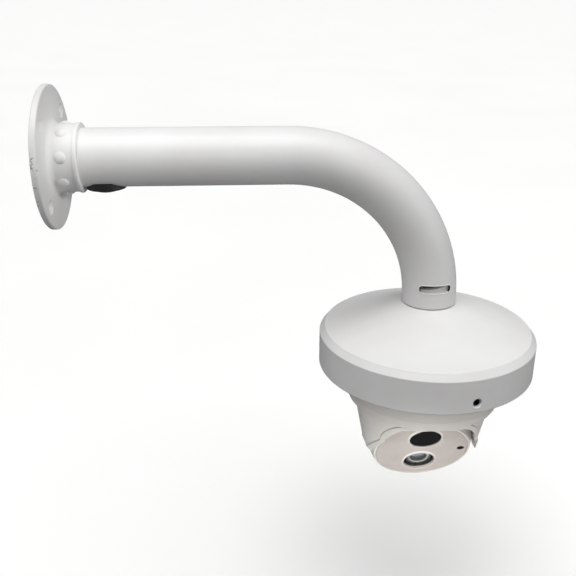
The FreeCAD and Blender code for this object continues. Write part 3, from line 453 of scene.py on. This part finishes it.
def filter_glass():
    """Dielectric-coated infrared-cut glass: pale cyan seen through."""
    material, tree, shader, place = new_material("infrared_cut_filter_glass", IOR=1.52, Roughness=0.02,
                                                 Transmission_Weight=0.9)
    wire(tree, shader, mottled(tree, place, 3.0, "8FC7D6", "A9D8DE"))
    return material


def emitter_resin():
    """Cast clear epoxy dome of the infrared emitter: slightly yellow and wet-looking."""
    material, tree, shader, place = new_material("cast_epoxy_dome", IOR=1.53, Roughness=0.06,
                                                 Transmission_Weight=0.85)
    wire(tree, shader, mottled(tree, place, 2.0, "E9E4D2", "F3F0E6"))
    return material


def sensor_face():
    """Etched silicon under glass: a fine grid of cells that splits light into faint colours.

    The grid is drawn far coarser than real cells, which are microns wide.
    """
    material, tree, shader, place = new_material("etched_silicon_sensor", Metallic=0.6, Roughness=0.18,
                                                 Thin_Film_Thickness=520.0, Thin_Film_IOR=1.45)
    cells = add(tree, "TexBrick", Vector=lens_coordinates(tree, place), Scale=per_mm(1.0), Mortar_Size=0.05,
                Color1=linear("1A2A33"), Color2=linear("223440"), Mortar=linear("0B0E10"))
    wire(tree, shader, cells)
    return material


def circuit_board():
    """Green solder mask over copper tracks on woven glass: the tracks show lighter and raised."""
    material, tree, shader, place = new_material("solder_masked_board", IOR=1.55, Coat_Weight=0.4,
                                                 Coat_Roughness=0.15)
    flat = lens_coordinates(tree, place)
    tracks = add(tree, "TexBrick", Vector=flat, Scale=per_mm(4.0), Mortar_Size=0.06,
                 Color1=linear("0E4A26"), Color2=linear("0C4222"), Mortar=linear("2B7A45"))
    weave = add(tree, "TexWave", Vector=flat, Scale=per_mm(2.0), Distortion=2.0)
    wire(tree, shader, tracks, weave, (0.3, 0.42), [(tracks.outputs["Fac"], 0.03)])
    return material


FINISHES = {"cast_white": powder_coated_casting, "tube_white": powder_coated_tube,
            "sleeve_white": thin_coat_sleeve, "plate_white": powder_coated_plate,
            "black_rubber": black_rubber, "black_foam": black_foam, "plated_steel": zinc_plated_steel,
            "black_steel": black_oxide_steel, "body_white": white_body_plastic,
            "ball_white": white_ball_plastic, "face_grey": face_plastic_painted_shade, "nylon": natural_nylon,
            "ivory_plastic": ivory_plastic, "black_plastic": black_plastic, "circuit_board": circuit_board,
            "black_window": infrared_window, "clear_glass": clear_window, "lens_glass": lens_glass,
            "filter_glass": filter_glass, "emitter_resin": emitter_resin, "sensor_face": sensor_face,
            "black_anodised": black_anodised, "aluminium": milled_aluminium, "bright_metal": polished_nickel,
            "brass": turned_brass}
MATERIALS = {slot: maker() for slot, maker in FINISHES.items()}
NODE_SLOTS = {part["node"]: part["material_slot"] for part in frame["record"]["subparts"]}


def finish_nodes():
    """Give every carried-over node the finish of its slot."""
    for name, node in NODES.items():
        for slot in node.material_slots:
            slot.material = MATERIALS[NODE_SLOTS[name]]
        if not node.material_slots:
            node.data.materials.append(MATERIALS[NODE_SLOTS[name]])


# ---- fine pieces ----
def mesh_object(name, points, faces):
    """A mesh object from arrays of points and faces."""
    mesh = bpy.data.meshes.new(name)
    mesh.from_pydata(points.reshape(-1, 3).tolist(), [], faces)
    mesh.update()
    piece = bpy.data.objects.new(name, mesh)
    bpy.context.scene.collection.objects.link(piece)
    return piece


def closed_ring(name, grid, body, slot):
    """A smooth surface from a grid of points that closes on itself both ways, so it has no seam or pole."""
    rows, columns = grid.shape[:2]
    index = np.arange(rows * columns).reshape(rows, columns)
    right = np.roll(index, -1, axis=1)
    corners = (index, right, np.roll(right, -1, axis=0), np.roll(index, -1, axis=0))
    piece = mesh_object(name, grid, np.stack(corners, axis=-1).reshape(-1, 4).tolist())
    piece.data.shade_smooth()
    piece.data.materials.append(MATERIALS[slot])
    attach(piece, body)


def slot_outline(turn):
    """Bearing and height round the neck slot: an oval whose corners are filled out by a power."""
    bearing = np.sign(np.cos(turn)) * np.abs(np.cos(turn)) ** SLOT_END_FILL * SLOT_HALF_ANGLE
    height = np.sign(np.sin(turn)) * np.abs(np.sin(turn)) ** SLOT_SIDE_FILL * SLOT_HALF_H
    return bearing, SLOT_MIDDLE + height


def on_arm(bearing, height, radius):
    """Points on the bend at a radius and a height, moved across the arm by the sine of the bearing."""
    x = NECK_X + radius * np.sin(bearing)
    outward = np.hypot(x - BEND_CENTRE[0], height - BEND_CENTRE[2]) - BEND_R
    return np.stack([x, -np.sqrt(np.maximum(radius ** 2 - outward ** 2, 0.0)), height], axis=-1)


def slot_paint_bead():
    """Soft raised roll of paint round the edge of the neck's front slot.

    A circle of the bead's radius is carried along the slot's outline on the arm's outside. One way
    of the grid is the turn round the slot and the other is the turn round the bead. The circle
    lies in the plane of the outward direction and of the direction across the path.
    """
    turn = np.linspace(0.0, 2.0 * np.pi, BEAD_STEPS[0], endpoint=False)
    path = on_arm(*slot_outline(turn), TUBE_R)
    along = np.roll(path, -1, axis=0) - np.roll(path, 1, axis=0)
    along /= np.linalg.norm(along, axis=1, keepdims=True)
    outward = on_arm(*slot_outline(turn), TUBE_R + MM) - path
    outward -= along * np.sum(outward * along, axis=1, keepdims=True)
    outward /= np.linalg.norm(outward, axis=1, keepdims=True)
    across = np.cross(along, outward)
    around = np.linspace(0.0, 2.0 * np.pi, BEAD_STEPS[1], endpoint=False)[None, :, None]
    grid = path[:, None] + BEAD_R * (np.cos(around) * outward[:, None] + np.sin(around) * across[:, None])
    closed_ring("slot_paint_bead", grid, "bracket", "tube_white")


def lens_light_seal():
    """Rubber sleeve from the lens barrel out to its window, ribbed inside so that it swallows stray light.

    A closed profile is turned round the lens axis. Up the inside the radius grows from the bore to the
    mouth by the square of the height, plus a sine for the ribs. Down the outside it's larger by the
    wall, which thins to half towards the mouth.
    """
    rise = np.linspace(0.0, 1.0, SEAL_STEPS[1])
    wall = SEAL_BORE + (SEAL_MOUTH - SEAL_BORE) * rise ** 2
    ribs = SEAL_RIB_H * np.sin(rise * SEAL_RIBS * 2.0 * np.pi) * rise
    radius = np.concatenate([wall + ribs, (wall + SEAL_THICK * (1.0 - 0.5 * rise))[::-1]])
    depth = SEAL_LOW + (SEAL_TOP - SEAL_LOW) * np.concatenate([rise, rise[::-1]])
    turn = np.linspace(0.0, 2.0 * np.pi, SEAL_STEPS[0], endpoint=False)[:, None, None]
    middle = BALL_CENTRE + LENS_DROP * LENS_UP
    spoke = np.cos(turn) * LENS_RIGHT + np.sin(turn) * LENS_UP
    grid = middle + radius[None, :, None] * spoke + depth[None, :, None] * LENS_AXIS
    closed_ring("lens_light_seal", grid, "eyeball", "black_rubber")


# ---- stage, light and camera ----
def pale_floor():
    """Wide pale floor under the bracket: hidden from bounced and mirrored light, with a faint glow."""
    drop = cad_low.z - FLOOR_BELOW
    corners = [[x * FLOOR_HALF, y * FLOOR_HALF, drop] for x, y in ((-1, -1), (1, -1), (1, 1), (-1, 1))]
    floor = mesh_object("floor", np.array(corners), [(0, 1, 2, 3)])
    glow = {"Emission_Color": linear("FFFFFF"), "Emission_Strength": FLOOR_GLOW}
    material, tree, shader, place = new_material("matte_pale_floor", Roughness=0.9, **glow)
    wire(tree, shader, mottled(tree, place, 400.0, "F7F7F6", "FAFAF9"))
    floor.data.materials.append(material)
    floor.visible_diffuse = False
    floor.visible_glossy = False


def light_tent():
    """White tent all round: bright overhead, dim underneath, so undersides go grey.

    The camera itself sees a plain white backdrop in the tent's place, which lights nothing.
    """
    world = bpy.data.worlds.new("light_tent")
    bpy.context.scene.world = world
    world.use_nodes = True
    tree = world.node_tree
    tree.nodes.clear()
    up = add(tree, "SeparateXYZ", Vector=add(tree, "TexCoord").outputs["Generated"]).outputs["Z"]
    glow = add(tree, "MapRange", {"interpolation_type": "SMOOTHSTEP"}, Value=up, From_Min=TENT_DIM_AT,
               From_Max=TENT_BRIGHT_AT, To_Min=TENT_LOW, To_Max=TENT_HIGH)
    tent = add(tree, "Background", Color=linear("FFFFFF"), Strength=glow)
    backdrop = add(tree, "Background", Color=linear("FCFCFC"))
    seen = add(tree, "LightPath").outputs["Is Camera Ray"]
    both = add(tree, "MixShader", Fac=seen, i1=tent, i2=backdrop)
    add(tree, "OutputWorld", Surface=both)


def lamp(name, kind, stand_off, aim, energy, **settings):
    """A lamp that stands off from a point and looks at it."""
    light = bpy.data.lights.new(name, kind)
    light.energy = energy
    for key, value in settings.items():
        setattr(light, key, value)
    stand = bpy.data.objects.new(name, light)
    stand.location = aim + Vector(stand_off)
    stand.rotation_euler = (-Vector(stand_off)).to_track_quat("-Z", "Y").to_euler()
    bpy.context.scene.collection.objects.link(stand)


def studio():
    """A wide overhead light, two softboxes, a soft fill each on turret and flange, and the tent."""
    light_tent()
    middle = (cad_low + cad_high) / 2
    lamp("overhead_light", "SUN", OVERHEAD_FROM, middle, OVERHEAD, angle=OVERHEAD_WIDTH)
    lamp("right_softbox", "AREA", SIDE_FROM, middle, SIDE, shape="SQUARE", size=SIDE_SIZE)
    lamp("front_softbox", "AREA", FRONT_FROM, middle, FRONT, shape="SQUARE", size=FRONT_SIZE)
    lamp("turret_fill", "SPOT", TURRET_FROM, Vector(BALL_CENTRE) + Vector(TURRET_AIM), TURRET,
         spot_size=TURRET_CONE, spot_blend=1.0, shadow_soft_size=SPOT_RADIUS)
    lamp("flange_fill", "SPOT", FLANGE_FROM, Vector(), FLANGE,
         spot_size=FLANGE_CONE, spot_blend=1.0, shadow_soft_size=SPOT_RADIUS)


def add_camera():
    """The camera stands in front of the arm's middle, above it, and looks down by about 22 degrees."""
    place = Vector(CAMERA_PLACE)
    data = bpy.data.cameras.new("camera")
    data.sensor_width = CAMERA_SENSOR
    data.lens = CAMERA_LENS
    data.clip_start = 0.02
    camera = bpy.data.objects.new("camera", data)
    camera.location = place
    camera.rotation_euler = (Vector(CAMERA_AIM) - place).to_track_quat("-Z", "Y").to_euler()
    bpy.context.scene.collection.objects.link(camera)
    bpy.context.scene.camera = camera


bpy.context.scene.view_settings.view_transform = "Standard"
finish_nodes()
slot_paint_bead()
lens_light_seal()
studio()
pale_floor()
add_camera()
